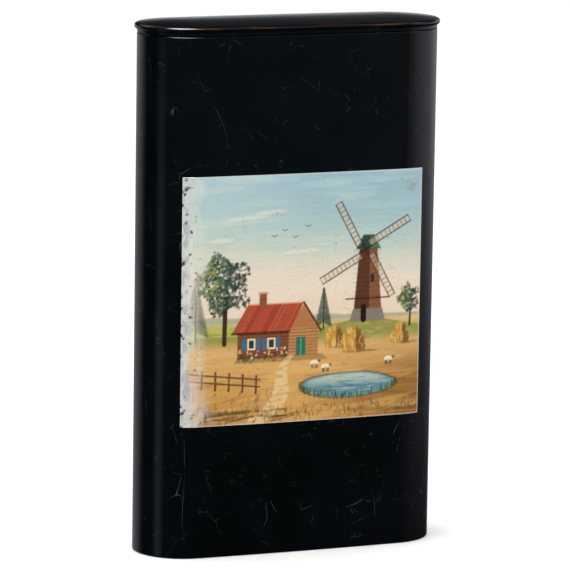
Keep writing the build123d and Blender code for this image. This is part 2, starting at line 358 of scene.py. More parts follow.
# %% The grid that is painted, in millimetres from the panel's lower left corner
COLUMNS, ROWS = 311, 303
PANEL_WIDTH = (PANEL_HIGH[0] - PANEL_LOW[0]) / MM
PANEL_HEIGHT = (PANEL_HIGH[2] - PANEL_LOW[2]) / MM
across, up = np.meshgrid(np.linspace(0, PANEL_WIDTH, COLUMNS), np.linspace(0, PANEL_HEIGHT, ROWS))
paint = np.zeros((ROWS, COLUMNS, 3))
relief = np.zeros((ROWS, COLUMNS))
print("One point every", round(PANEL_WIDTH / (COLUMNS - 1), 2), "mm")


# %% Noise for skies, ripples and worn edges
STIR_X, STIR_Y, STIR_SEED, STIR_ALL = 127.1, 311.7, 74.7, 43758.5453
LAYERS = 4


def value_noise(x, y, seed):
    """Smooth noise from 0 to 1: random values on whole steps of x and y, eased between them."""
    x0, y0 = np.floor(x), np.floor(y)
    tx, ty = x - x0, y - y0
    tx, ty = tx * tx * (3 - 2 * tx), ty * ty * (3 - 2 * ty)

    def corner(i, j):
        """The random value at one whole step: the digits after the point of a sine made very large."""
        stirred = np.sin((x0 + i) * STIR_X + (y0 + j) * STIR_Y + seed * STIR_SEED) * STIR_ALL
        return stirred - np.floor(stirred)

    low = corner(0, 0) * (1 - tx) + corner(1, 0) * tx
    high = corner(0, 1) * (1 - tx) + corner(1, 1) * tx
    return low * (1 - ty) + high * ty


def layered_noise(x, y, seed):
    """Value noise added up in layers, each half as large and half as strong as the one before."""
    total = sum(value_noise(x * 2**i, y * 2**i, seed + i) / 2**i for i in range(LAYERS))
    return total / (2 - 2 ** (1 - LAYERS))


def smooth(low, high, value):
    """0 up to low, 1 from high, and an eased slope between."""
    t = np.clip((value - low) / (high - low), 0, 1)
    return t * t * (3 - 2 * t)


# %% [markdown]
# A picture is built from a few actions: laying a colour over an area, one stroke of the brush, a drawn
# line, a filled shape, and many strokes scattered over a field. Each one works on the whole grid or a part
# of it at once. A stroke also leaves a little thickness, which the sheet gets as its relief.


# %% Brush strokes and shapes to paint with
def lay(amount, colour):
    """Cover the whole panel with a colour, as thickly as amount says at each point."""
    paint[:] += (np.array(linear(colour)[:3]) - paint) * np.clip(amount, 0, 1)[..., None]


def stroke(x, y, length, width, angle, colour, opacity=1.0, body=0.0):
    """One touch of the brush: an ellipse of paint, streaked along its length. Its body is its thickness."""
    reach = max(length, width) * 0.75
    c0, c1 = np.searchsorted(across[0], (x - reach, x + reach))
    r0, r1 = np.searchsorted(up[:, 0], (y - reach, y + reach))
    if c0 >= c1 or r0 >= r1:
        return
    dx, dy = across[r0:r1, c0:c1] - x, up[r0:r1, c0:c1] - y
    along = (dx * math.cos(angle) + dy * math.sin(angle)) / (length / 2)
    side = (dy * math.cos(angle) - dx * math.sin(angle)) / (width / 2)
    edge = np.clip((1 - along**2 - side**2) * 3, 0, 1)
    hairs = 0.75 + 0.25 * value_noise(side * 3 + x * 7, along * 0.8 + y * 5, 5)
    amount = (edge * hairs * opacity)[..., None]
    paint[r0:r1, c0:c1] += (np.array(linear(colour)[:3]) - paint[r0:r1, c0:c1]) * amount
    relief[r0:r1, c0:c1] += (body - relief[r0:r1, c0:c1]) * amount[..., 0]


def line(x0, y0, x1, y1, width, colour, opacity=1.0):
    """A straight drawn line with a slightly unsteady edge."""
    dx, dy = x1 - x0, y1 - y0
    t = np.clip(((across - x0) * dx + (up - y0) * dy) / (dx * dx + dy * dy), 0, 1)
    far = np.hypot(across - x0 - t * dx, up - y0 - t * dy)
    shaken = far + 0.06 * (value_noise(across * 1.7, up * 1.7, 9) - 0.5)
    lay(smooth(width / 2 + 0.13, width / 2 - 0.08, shaken) * opacity, colour)


def inside_polygon(points):
    """A soft mask of a convex polygon whose corners run anticlockwise."""
    least = np.full(across.shape, 1e9)
    for (ax, ay), (bx, by) in zip(points, points[1:] + points[:1]):
        run = math.hypot(bx - ax, by - ay)
        least = np.minimum(least, ((bx - ax) * (up - ay) - (by - ay) * (across - ax)) / run)
    return smooth(-0.1, 0.14, least)


def fill(points, colour, opacity=1.0):
    """Paint a convex polygon."""
    lay(inside_polygon(points) * opacity, colour)


def slab(middle, foot, top, half_foot, half_top, colour, opacity=1.0):
    """Paint an upright shape that is symmetric about its middle, from a level foot to a level top."""
    fill([(middle - half_foot, foot), (middle + half_foot, foot), (middle + half_top, top),
          (middle - half_top, top)], colour, opacity)


def touches(count, x_range, y_range, lengths, widths, lean, tones, opacity, body=0.3):
    """Many strokes scattered over a rectangle. A range is a low and a high; lean is a mean and a spread."""
    for _ in range(count):
        stroke(rng.uniform(*x_range), rng.uniform(*y_range), rng.uniform(*lengths), rng.uniform(*widths),
               rng.normal(*lean), rng.choice(tones), rng.uniform(*opacity), body)


# %% [markdown]
# The sky goes on first: pale blue at the top, through a greenish grey, to cream and rose above the
# horizon, in long level strokes. The ground is a field of ochre, palest in the middle and brown at the
# lower right, with warm and dark streaks. Colours are listed as shares of the way up and the colour there.

# %% Paint the sky and the ground
HORIZON = 25.5
rng = np.random.default_rng(7)
SKY = [(0.0, "#dcc3a6"), (0.25, "#ddcdb9"), (0.5, "#bfc7b4"), (0.72, "#a9c0bb"), (1.0, "#a3bdc3")]
GROUND = [(0.0, "#a87328"), (0.35, "#c38f45"), (0.75, "#cda160"), (1.0, "#cfae7c")]
DEEP_SKY, BROWN_GROUND, PALE_GROUND = "#7b9fae", "#70460f", "#e0b670"
FAR_STREAKS = ["#c99b50", "#d8b474", "#bd8d45"]
NEAR_STREAKS = ["#c08a3c", "#a9762f", "#d3a75c", "#94662a"]
HIGH_SKY_STREAKS = ["#b9cfc8", "#cdd3c2", "#9fbdc2"]
LOW_SKY_STREAKS = ["#e2cdb0", "#dcc7b4", "#d2cfba"]
WIDE = (0, PANEL_WIDTH)


def graded(stops, share):
    """Colour graded between stops of share and hex colour."""
    places = [place for place, _ in stops]
    colours = np.array([linear(colour)[:3] for _, colour in stops])
    return np.stack([np.interp(share, places, colours[:, i]) for i in range(3)], axis=-1)


ripple = (layered_noise(across * 0.05, up * 0.35, 3) - 0.5) * 5
paint[:] = graded(SKY, (up - HORIZON + ripple) / (PANEL_HEIGHT - HORIZON))
swell = (layered_noise(across * 0.08, up * 0.6, 11) - 0.5) * 6
ground = graded(GROUND, (up + swell) / HORIZON)
edge_of_land = HORIZON + 0.5 * (value_noise(across * 0.12, across * 0, 2) - 0.5)
paint += (ground - paint) * smooth(0.15, -0.15, up - edge_of_land)[..., None]
lay(smooth(20, 64, across + 0.5 * (up - HORIZON)) * smooth(HORIZON + 8, 60, up) * 0.5, DEEP_SKY)
lay(smooth(27, 58, across - 0.6 * up) * smooth(22, 7, up) * 0.85, BROWN_GROUND)
lay(np.exp(-((across - 30) / 13) ** 2) * smooth(19, 9, up) * 0.45, PALE_GROUND)
touches(160, WIDE, (9, HORIZON - 1), (5, 14), (0.4, 0.9), (0.05, 0.05), FAR_STREAKS, (0.15, 0.35))
touches(150, WIDE, (0, 12), (7, 20), (0.6, 1.6), (0.07, 0.05), NEAR_STREAKS, (0.15, 0.4))
touches(110, WIDE, (HORIZON + 14, PANEL_HEIGHT), (8, 20), (0.8, 2.0), (0.02, 0.04), HIGH_SKY_STREAKS,
        (0.08, 0.2), 0.2)
touches(60, WIDE, (HORIZON + 2, HORIZON + 16), (8, 20), (0.8, 1.8), (0.02, 0.04), LOW_SKY_STREAKS,
        (0.08, 0.2), 0.2)
print("Sky and ground are laid in")

# %% [markdown]
# Clouds, a far treeline and the middle distance follow: each layer is a little stronger than the one
# behind it.

# %% Paint the clouds and the far land
CLOUDS = ((17, 52, 13), (23, 53.2, 9), (31, 43, 12), (10, 46.5, 7))
MEADOW_STREAKS = ["#94a03c", "#b9b357", "#7f8c38"]
for x, y, length in CLOUDS:
    stroke(x, y, length, 1.1, 0.06, "#e6d9bf", 0.5, 0.35)
    stroke(x + 1, y - 0.7, length * 0.8, 0.6, 0.05, "#a9b4ae", 0.3, 0.2)
far_wood = HORIZON + 0.6 + 1.5 * layered_noise(across * 0.22, across * 0, 21) * smooth(64, 30, across)
lay(smooth(0.25, -0.25, up - far_wood) * smooth(-0.4, 0.2, up - HORIZON) * 0.75, "#8b9678")
meadow = smooth(1.4, -0.9, np.abs(up - HORIZON + 2.0) - 1.6 + 0.03 * across)
lay(meadow * 0.85, "#a7ac46")
touches(90, (0, 42), (HORIZON - 4.5, HORIZON - 0.4), (2, 6), (0.4, 0.6), (0.02, 0.03), MEADOW_STREAKS,
        (0.3, 0.55))
print("The far land is in")


# %% [markdown]
# The windmill is the tall motif: a boarded tower on a stone foot, a cap, and four lattice sails on a long
# shaft.

# %% Paint the windmill
SAIL_TURN = 0.5


def sail(x, y, turn, reach, chord):
    """One lattice sail, whose hub is at x and y: two spars, the bars between them, and the bare shaft."""
    root, cosine, sine = 1.8, math.cos(turn), math.sin(turn)

    def point(out, off):
        """The place so far out from the hub along the spar, and so far off it."""
        return x + out * cosine - off * sine, y + out * sine + off * cosine

    fill([point(root, 0), point(reach, 0), point(reach, chord), point(root, chord)], "#c9b594", 0.35)
    for off in (0.0, chord):
        line(*point(root, off), *point(reach, off), 0.26, "#44260f", 0.95)
    for out in np.linspace(root, reach, 11):
        line(*point(out, 0), *point(out, chord), 0.15, "#6b4224", 0.9)
    line(x, y, *point(2.0, 0), 0.36, "#2f1b10")


def windmill(x, y, size):
    """A boarded mill seen a little from the side, its foot at x and y and its cap at a height of size."""
    wide, top, unit = 0.22 * size, y + size, size / 16
    right = [(x + 0.1 * wide, y), (x + wide, y), (x + 0.6 * wide, top), (x + 0.1 * wide, top)]
    slab(x, y, top, wide, 0.6 * wide, "#59301b")
    fill(right, "#8d5630", 0.75)
    for i in range(16):
        height = y + size * (i + 0.5) / 16
        line(x - wide, height, x + wide * 0.9, height, 0.12, "#341b10", 0.4)
    slab(x, y - 0.1, y + 0.17 * size, 1.2 * wide, wide, "#7c7264")
    slab(x, y + 0.3 * size, y + 0.32 * size, 1.5 * wide, 1.5 * wide, "#2c1a11")
    slab(x, top - 0.3, top + 2.9 * unit, 0.85 * wide, 0.35 * wide, "#22453a")
    fill([(x + 0.1 * wide, top - 0.1), (x + 0.8 * wide, top - 0.1), (x + 0.3 * wide, top + 2.6 * unit),
          (x + 0.1 * wide, top + 2.6 * unit)], "#4d7a5e", 0.7)
    line(x - 0.28 * wide, y + 0.02 * size, x - 0.28 * wide, y + 0.19 * size, 1.5, "#22140d")
    line(x + 0.3 * wide, y + 0.55 * size, x + 0.3 * wide, y + 0.62 * size, 0.9, "#1f2b30")
    for quarter in range(4):
        sail(x - 0.2 * wide, top - 0.4, SAIL_TURN + quarter * math.pi / 2, 0.76 * size, 1.5 * unit)


def mound(x, y, wide, high, tones):
    """A grassy rise, in strokes that follow its curve."""
    rise = y + high * np.exp(-(((across - x) / wide) ** 2))
    lay(smooth(0.2, -0.2, up - rise) * smooth(y - 4, y - 0.5, up), tones[0])
    for _ in range(110):
        px = x + rng.normal(0, wide * 0.7)
        py = y + high * math.exp(-(((px - x) / wide) ** 2)) - rng.uniform(0.1, high + 2)
        stroke(px, py, rng.uniform(1.5, 4), 0.5, rng.normal(0, 0.1), rng.choice(tones[1:]), 0.4, 0.3)


MILL_HEIGHT = 18.5
mound(49, 22.4, 12, 3.0, ("#8c8a3f", "#b1a750", "#6f7a35", "#a08a3f"))
windmill(49.5, 24.6, MILL_HEIGHT)
print("The windmill stands", MILL_HEIGHT, "mm high on the panel")


# %% [markdown]
# Trees are built from touches: dark ones first, then mid green, then a few light ones on the sunny side.

# %% Paint the trees
TRUNK = "#3d2617"
LEAVES = ("#1c3029", "#2c4a38", "#4d6b3a", "#8b9447")


def tree(x, y, high, wide, tones):
    """A leafy tree: a trunk and a crown of short touches, lighter towards the upper left."""
    line(x, y, x + 0.2, y + 0.5 * high, 0.05 * high, TRUNK)
    for shade, tone in enumerate(tones):
        for _ in range(int(1.5 * high * wide / (1 + shade))):
            turn, far = rng.uniform(0, 2 * math.pi), math.sqrt(rng.uniform(0, 1))
            lobes = 0.85 + 0.15 * math.sin(5 * turn + x)
            px = x + wide * far * lobes * math.cos(turn) * 0.5 - 0.3 * shade
            py = y + high * 0.64 + high * 0.36 * far * lobes * math.sin(turn) + 0.4 * shade
            if shade and px - x > wide * (0.3 - 0.14 * shade) + rng.normal(0, 0.5):
                continue
            stroke(px, py, rng.uniform(0.7, 1.5), rng.uniform(0.45, 0.8), rng.uniform(0, 3.1), tone,
                   0.75, 0.5)


def fir(x, y, high, tones):
    """A fir: drooping touches that shorten to the tip."""
    line(x, y, x, y + high, 0.35, "#3b2a1e")
    for i in range(26):
        level = i / 26
        half = 0.21 * high * (1 - level) + 0.25
        for side in (-1, 1):
            tone = tones[0] if side > 0 or i % 3 else tones[1]
            stroke(x + side * half * 0.5, y + (0.12 + 0.88 * level) * high, half * 1.2, 0.55, -0.45 * side,
                   tone, 0.85, 0.5)


fir(3.4, 21.5, 16.0, ("#1b332b", "#365a43"))
tree(11.0, 20.5, 23.0, 15.5, LEAVES)
fir(37.5, 23.0, 10.5, ("#23402f", "#4b6c4a"))
tree(61.3, 22.8, 10.5, 6.5, LEAVES)
print("The trees are in")

# %% [markdown]
# The cottage is of logs under a terracotta roof. It is drawn as flat shapes from back to front, with a
# dark line for each log, slanting lines for the tiles, and smoke that widens as it rises.

# %% Paint the cottage
ROOF_TILES = ["#c96742", "#7c2813", "#b8502f"]


def cottage(x, y, wide, high):
    """A log cottage with a terracotta roof: its near wall at x and y, and its gable towards the right."""
    gable, unit, ridge, eaves = 0.36 * wide, high / 4.2, y + high * 1.9, y + high - 0.7
    split, end = x + wide - gable, x + wide
    middle, roof_left, eaves_left = split + gable * 0.5, x + gable * 0.35, x - 0.9 * unit
    fill([(x - 1, y - 1.0), (end + 3, y - 1.0), (end + 1, y + 0.5), (x, y + 0.5)], "#7c5a2a", 0.6)
    fill([(x, y), (split, y), (split, y + high), (x, y + high)], "#7a4426")
    fill([(split, y), (end, y + 0.6), (end, y + high - 0.2), (split, y + high)], "#b57b46")
    fill([(split - 0.2, y + high), (end + 0.2, y + high - 0.2), (middle, y + high * 1.85)], "#a86d3c")
    for i in range(9):
        level = y + high * (i + 0.6) / 9
        line(x, level, end, level, 0.16, "#3f2012", 0.6)
    fill([(eaves_left, eaves), (split + 0.1, eaves), (middle, ridge), (roof_left, ridge)], "#a03c20")
    for i in range(22):
        px = x + (split - x) * i / 22
        line(px - 0.6, y + high - 0.5, px + gable * 0.42, ridge - 0.2, 0.2, rng.choice(ROOF_TILES), 0.55)
    line(eaves_left, eaves, split + 0.1, eaves, 0.4, "#4a170c")
    line(roof_left, ridge, middle, ridge, 0.3, "#d98a63", 0.8)
    line(middle, ridge, end + 0.9, y + high - 0.9, 0.5, "#5c2011")
    for px in (x + 1.5 * unit, x + 4.6 * unit):
        py = y + 1.3 * unit
        slab(px + 0.65 * unit, py, py + 1.7 * unit, 0.65 * unit, 0.65 * unit, "#d9c9a4")
        slab(px + 0.65 * unit, py + 0.25 * unit, py + 1.45 * unit, 0.4 * unit, 0.4 * unit, "#1d3038")
        for shutter in (px - 0.5 * unit, px + 1.75 * unit):
            line(shutter, py + 0.2, shutter, py + 1.5 * unit, 0.55 * unit, "#2d6480")
    door, hinge_side, lintel = split + 1.1 * unit, split + 2.6 * unit, y + 2.9 * unit
    fill([(door, y + 0.2), (hinge_side, y + 0.3), (hinge_side, lintel), (door, lintel)], "#1f6b4d")
    line(door + 0.75 * unit, y + 0.4, door + 0.75 * unit, y + 2.7 * unit, 0.2, "#7fb08a", 0.7)
    stack = x + 3.9 * unit
    slab(stack, ridge - 0.8, ridge + 1.6 * unit, 0.6 * unit, 0.6 * unit, "#87492f")
    slab(stack, ridge + 1.5 * unit, ridge + 1.8 * unit, 0.6 * unit + 0.3, 0.6 * unit + 0.3, "#c98f6a")
    smoke = stack + 1.0 - 0.6 * unit
    for i in range(9):
        stroke(smoke + 0.8 * i, ridge + 2.3 * unit + 0.9 * i, 1.4 + 0.35 * i, 0.8 + 0.16 * i, 0.7,
               "#d9d3c2", 0.34 - 0.03 * i, 0.3)


cottage(14.5, 16.5, wide=21.5, high=7.2)
print("The cottage is in")

# %% [markdown]
# Haystacks are heaped from upright touches that lean inwards, darker on the right, away from the light. A
# bed of flowers hides the foot of the cottage wall.

# %% Paint the haystacks and the flower bed
HAYSTACKS = ((40.5, 18.6, 5.0), (45.6, 17.2, 6.2), (58.6, 18.8, 4.6))
HAY_IN_LIGHT, HAY_IN_SHADE = ["#c08a32", "#dcb058", "#a9752a"], "#7c4f1a"
FLOWER_BED = (14.5, 28)
STALKS = ["#24452b", "#4c6f33", "#1d3526"]
FLOWERS = ["#d8776a", "#c2452f", "#e6b7a2", "#d9a13c"]


def haystack(x, y, size):
    """A domed stack of hay, in upright touches that lean inwards."""
    stroke(x + 0.35 * size, y - 0.2, size * 1.6, 0.9, 0.0, "#6d4a1d", 0.6, 0.2)
    for i in range(int(34 * size)):
        level = rng.uniform(0, 1)
        half = size * 0.55 * math.sqrt(1 - level**2)
        px = x + rng.uniform(-half, half)
        tone = HAY_IN_SHADE if px > x + 0.12 * size else rng.choice(HAY_IN_LIGHT)
        stroke(px, y + level * size * 0.95, 1.7, 0.4, 1.57 + 0.5 * (x - px) / size, tone, 0.8, 0.5)


for x, y, size in HAYSTACKS:
    haystack(x, y, size)
touches(60, FLOWER_BED, (15.8, 17.6), (0.8, 1.8), (0.25, 0.4), (1.57, 0.3), STALKS, (0.6, 0.9))
touches(34, FLOWER_BED, (16.6, 19.2), (0.4, 0.9), (0.4, 0.7), (0.3, 0.9), FLOWERS, (0.8, 1.0), 0.6)
print(len(HAYSTACKS), "haystacks and the flowers are in")

# %% [markdown]
# The foreground comes last. The pond is an ellipse with an unsteady edge, a muddy bank round it and the
# sky in its far half, and reeds stand along its near shore.

# %% Paint the pond
POND_X, POND_Y, POND_LONG, POND_DEEP = 44.5, 8.6, 13.0, 3.2
RIPPLES = ["#3f6c7c", "#a3bbb3", "#2c5462"]
REEDS = ["#1f3a26", "#3f5a2c", "#71793a"]
pond = ((across - POND_X) / POND_LONG) ** 2 + ((up - POND_Y) / POND_DEEP) ** 2
pond += 0.25 * (layered_noise(across * 0.35, up, 31) - 0.5)
lay(smooth(1.2, 0.98, pond) * 0.9, "#513b1c")
lay(smooth(1.0, 0.92, pond), "#5d8791")
lay(smooth(1.0, 0.6, pond) * smooth(POND_Y - 0.8, POND_Y + 2.4, up) * 0.8, "#b7bfa9")
for _ in range(70):
    turn, far = rng.uniform(0, 2 * math.pi), rng.uniform(0, 0.85)
    stroke(POND_X + POND_LONG * far * math.cos(turn), POND_Y + 0.9 * POND_DEEP * far * math.sin(turn),
           rng.uniform(2, 5), 0.3, 0.0, rng.choice(RIPPLES), 0.5, 0.1)
for _ in range(110):
    turn = rng.uniform(math.pi, 2 * math.pi)
    x, y = POND_X + 1.02 * POND_LONG * math.cos(turn), POND_Y + 1.05 * POND_DEEP * math.sin(turn)
    stroke(x, y + 0.8, rng.uniform(1.4, 3.2), 0.3, 1.57 + rng.normal(0, 0.2), rng.choice(REEDS), 0.85, 0.6)
print("The pond is", 2 * POND_LONG, "mm long")

# %% [markdown]
# The path winds down from the cottage door and widens towards the front. The fence's posts and its two
# rails have a pale line each, where the light meets them.

# %% Paint the path and the fence
bend = 30.5 - 0.75 * (16 - up) + 2.6 * np.sin(up * 0.3)
path = smooth(1.0, 0.75, np.abs(across - bend) / (0.9 + 0.16 * (17 - up)))
path *= smooth(17.6, 16.4, up) * smooth(1.1, 1.3, pond)
lay(path * 0.7, "#dcbd85")
lay(path * smooth(0.55, 0.75, value_noise(across * 0.5, up * 2.2, 41)) * 0.5, "#a87c42")
posts = np.arange(1.5, 20.0, 3.6)
for x in posts:
    foot = 10.2 - 0.12 * x
    line(x, foot, x + 0.1, foot + 4.3, 0.5, "#46280f")
    line(x - 0.12, foot + 0.4, x - 0.04, foot + 4.1, 0.16, "#a17345", 0.7)
for rise in (1.6, 3.4):
    line(0.0, 10.2 + rise, 20.5, 7.8 + rise, 0.38, "#5a3517")
    line(0.0, 10.4 + rise, 20.5, 8.0 + rise, 0.12, "#a17345", 0.6)
print("The fence has", len(posts), "posts")

# %% [markdown]
# Sheep, dark tufts of grass and birds finish the picture. The grass is longest along the lower edge,
# because it is nearest.

# %% Paint the sheep, the near grass and the birds
SHEEP = ((35.2, 14.7), (38.2, 13.6), (55.5, 14.6))
BIRDS = ((24, 47), (26.8, 48.4), (29.6, 46.6), (33.0, 49.2))
GRASS = ["#5b3a14", "#7c5a22", "#3d3a1a", "#8f682c", "#47522a"]
RUTS = ["#3f2a10", "#5a3d1a", "#33381c"]
for x, y in SHEEP:
    stroke(x, y, 2.5, 1.5, 0.0, "#e9dcc2", 0.95, 0.6)
    stroke(x + 0.2, y - 0.35, 2.0, 0.6, 0.0, "#b89f78", 0.7, 0.6)
    stroke(x + 1.3, y + 0.4, 0.9, 0.7, 0.3, "#2f1f16", 0.9, 0.6)
    for leg in (-0.7, -0.3, 0.4, 0.8):
        line(x + leg, y - 0.5, x + leg, y - 1.3, 0.18, "#2f1f16")
touches(170, WIDE, (0, 4), (1.0, 2.6), (0.3, 0.5), (1.57, 0.45), GRASS, (0.4, 0.75), 0.5)
touches(60, (0, 24), (1, 8), (1.0, 2.6), (0.3, 0.5), (1.57, 0.45), GRASS, (0.3, 0.6), 0.5)
touches(26, (4, 30), (1.0, 3.6), (4, 10), (0.4, 0.8), (0.04, 0.08), RUTS, (0.35, 0.6), 0.4)
for x, y in BIRDS:
    line(x - 0.8, y + 0.4, x, y, 0.16, "#4a4a46", 0.8)
    line(x, y, x + 0.8, y + 0.45, 0.16, "#4a4a46", 0.8)
print("The picture is painted")

# %% [markdown]
# ## Age of the paint
# The panel's left edge is rubbed: over a few millimetres the paint has gone thin and shows the whitish
# ground in upright streaks, with small dark chips where even the ground has gone. The corners on that side
# are chipped too, the upper right corner has a nick, and the other edges keep a thin pale line.

# %% Rub and chip the paint
THIN_PAINT, BARE_GROUND, STAINED_GROUND, PALE_EDGE = "#dcd6c6", "#bfc2c0", "#8d989c", "#cfcabb"
CHIP, SCRATCH, NICK = "#241d19", "#6d675c", "#8f8d80"
NICK_X, NICK_Y = 61.0, 58.4
CHIP_DEPTH = 2.0
streaky = layered_noise(across * 1.1, up * 0.13, 51)
patchy = layered_noise(across * 0.4, up * 0.22, 52)
thin_width = 3.5 + 7.0 * patchy
thin = smooth(thin_width, 0.2 * thin_width, across + 5.0 * (streaky - 0.5))
bare = smooth(1.6 + 2.6 * patchy, 0.6, across + 1.6 * (streaky - 0.5))
low_corner = smooth(11.0, 1.0, np.hypot(across, up * 0.8))
low_corner *= smooth(0.38, 0.6, layered_noise(across * 0.8, up * 0.8, 53))
lay(thin * (0.3 + 0.45 * smooth(0.35, 0.65, streaky)), THIN_PAINT)
lay(np.maximum(bare, low_corner) * 0.85, BARE_GROUND)
blue_grey = bare * smooth(0.5, 0.62, layered_noise(across * 0.9, up * 0.5, 55))
lay(blue_grey * 0.6, STAINED_GROUND)
from_edge = np.minimum.reduce([across, PANEL_WIDTH - across, up, PANEL_HEIGHT - up])
lay(smooth(0.4, 0.12, from_edge) * 0.55, PALE_EDGE)
chip_field = layered_noise(across * 0.9, up * 0.9, 61)
near_corner = np.minimum(np.hypot(across, up), np.hypot(across, PANEL_HEIGHT - up))
chip_field += 0.2 * smooth(5.0, 0.0, near_corner) + 0.12 * smooth(1.5, 0.0, across)
chipped = smooth(0.74, 0.8, chip_field) * smooth(6.0, 3.5, across)
lay(chipped * 0.9, CHIP)
lay(smooth(0.84, 0.88, layered_noise(across * 1.3, up * 1.3, 66)), SCRATCH)
nick = smooth(0.9, 0.5, np.hypot((across - NICK_X) / 2.0, (up - NICK_Y) / 2.2))
nick *= smooth(0.3, 0.6, layered_noise(across * 0.7, up * 0.7, 63))
lay(nick * 0.55, NICK)
relief -= CHIP_DEPTH * chipped
print("Thin share:", round(float(thin.mean()), 3), "chipped share:", round(float(chipped.mean()), 4))

# %% [markdown]
# ## The sheet that carries the paint
# The front is the painted grid laid on the bow of the body. It stands 0.05 mm proud, and the relief of the
# paint is a few hundredths of a millimetre. Side walls run back from its edges, and a back skin of long
# upright quads closes it.

# %% Build the sheet and give each vertex its paint
PROUD = 0.05 * MM
BACK_DEPTH = 0.15 * MM
RELIEF_STEP = 0.02 * MM
RELIEF_FADE = 0.3
GROUND_COLOUR = "#cfcabc"


def face_y(x, proud):
    """Where the front lies at x: on the face's wide arc as far as the end's arc, and then on that one."""
    wide = FACE_RADIUS + proud
    end = END_RADIUS + proud
    lean = math.atan2(FACE_RADIUS - HALF_DEPTH, END_CENTRE)
    tangent = END_CENTRE + end * math.cos(lean)
    on_face = np.sqrt(wide**2 - x**2) - (FACE_RADIUS - HALF_DEPTH)
    on_end = np.sqrt(np.maximum(end**2 - (np.abs(x) - END_CENTRE) ** 2, 0))
    return -np.where(np.abs(x) < tangent, on_face, on_end)


def panel_mesh():
    """Front grid, side walls and back skin as one closed mesh, with the paint on its points."""
    x = PANEL_LOW[0] + across * MM
    z = PANEL_LOW[2] + up * MM
    settle = np.clip(from_edge / RELIEF_FADE, 0, 1) * np.clip(relief, -CHIP_DEPTH, 1) * RELIEF_STEP
    y = face_y(x, PROUD - RELIEF_STEP) - settle
    front = np.stack([x, y, z], axis=-1).reshape(-1, 3)
    index = np.arange(ROWS * COLUMNS).reshape(ROWS, COLUMNS)
    quads = np.stack([index[:-1, :-1], index[:-1, 1:], index[1:, 1:], index[1:, :-1]], axis=-1)
    rim = np.concatenate([index[0, :-1], index[:-1, -1], index[-1, :0:-1], index[:0:-1, 0]])
    behind = front[rim].copy()
    behind[:, 1] = face_y(behind[:, 0], -BACK_DEPTH)
    back = len(front) + np.arange(len(rim))
    walls = np.stack([rim, back, np.roll(back, -1), np.roll(rim, -1)], axis=-1)
    foot, right = back[:COLUMNS], back[COLUMNS - 1:COLUMNS + ROWS - 1]
    top = back[COLUMNS + ROWS - 2:2 * COLUMNS + ROWS - 2][::-1]
    left = np.concatenate([[back[0]], back[:2 * COLUMNS + ROWS - 4:-1]])
    strips = np.stack([foot[1:-2], top[1:-2], top[2:-1], foot[2:-1]], axis=-1).tolist()
    first = [int(v) for v in left] + [int(top[1]), int(foot[1])]
    last = [int(foot[COLUMNS - 2]), int(top[COLUMNS - 2])] + [int(v) for v in right[::-1]]
    mesh = bpy.data.meshes.new("painted_sheet")
    mesh.from_pydata(np.concatenate([front, behind]).tolist(), [],
                     quads.reshape(-1, 4).tolist() + walls.tolist() + strips + [first, last])
    mesh.validate()
    colours = np.ones((len(mesh.vertices), 4), np.float32)
    colours[:len(front), :3] = paint.reshape(-1, 3)
    colours[len(front):, :3] = linear(GROUND_COLOUR)[:3]
    layer = mesh.color_attributes.new("paint", "FLOAT_COLOR", "POINT")
    layer.data.foreach_set("color", colours.ravel())
    mesh.polygons.foreach_set("use_smooth", np.ones(len(mesh.polygons), bool))
    return mesh


sheet = bpy.data.objects.new("painted_sheet", panel_mesh())
bpy.context.collection.objects.link(sheet)
print("The sheet has", len(sheet.data.vertices), "points")

# %% [markdown]
# Oil paint under old varnish: warm, with a soft gloss, fine level brush marks and a few hairline cracks
# that run mostly upright. The cracks are the lacquer's own pattern, drawn out upwards.

# %% Material of the varnished paint
BRISTLE_MARK = np.array([2.857, 2.857, 0.3846]) * MM
BRISTLE_DEPTH = 0.01 * MM
OLD_VARNISH, CRACK_SHOWS = "#6f6045", 0.35

oil, oil_shader = new_material("varnished_oil_paint", IOR=1.48)
stored = node(oil, "ShaderNodeAttribute", attribute_name="paint", attribute_type="GEOMETRY")
hair = hairlines(oil, spacing=6.0 * MM, stretch=(1.0, 1.0, 0.3), showing=0.4, seed=12.0)
bristle = node(oil, "ShaderNodeTexNoise", {"Vector": object_place(oil, 1 / BRISTLE_MARK), "Scale": 1.0,
                                           "Detail": 3.0})
shade = node(oil, "ShaderNodeMapRange", {0: bristle.outputs["Fac"], 1: 0.2, 2: 0.8, 3: 0.97, 4: 1.02})
toned = node(oil, "ShaderNodeVectorMath", {0: stored.outputs["Color"], "Scale": shade.outputs[0]},
             operation="SCALE")
connect(oil, cover(oil, toned.outputs[0], linear(OLD_VARNISH), hair, CRACK_SHOWS),
        oil_shader.inputs["Base Color"])
gloss = node(oil, "ShaderNodeMapRange", {0: bristle.outputs["Fac"], 3: 0.22, 4: 0.36})
connect(oil, gloss.outputs[0], oil_shader.inputs["Roughness"])
bump = node(oil, "ShaderNodeBump", {"Height": bristle.outputs["Fac"], "Distance": BRISTLE_DEPTH,
                                    "Strength": 0.12})
connect(oil, bump.outputs[0], oil_shader.inputs["Normal"])
sheet.data.materials.append(oil)
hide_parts("painted_panel")
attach(sheet, "case")
print("The sheet is painted with", oil.name)

# %% [markdown]
# ## Studio
# The photograph has a white ground and soft light. The floor is a wide matt square, and it is kept out of
# mirror images, so it can be pale without greying the front.

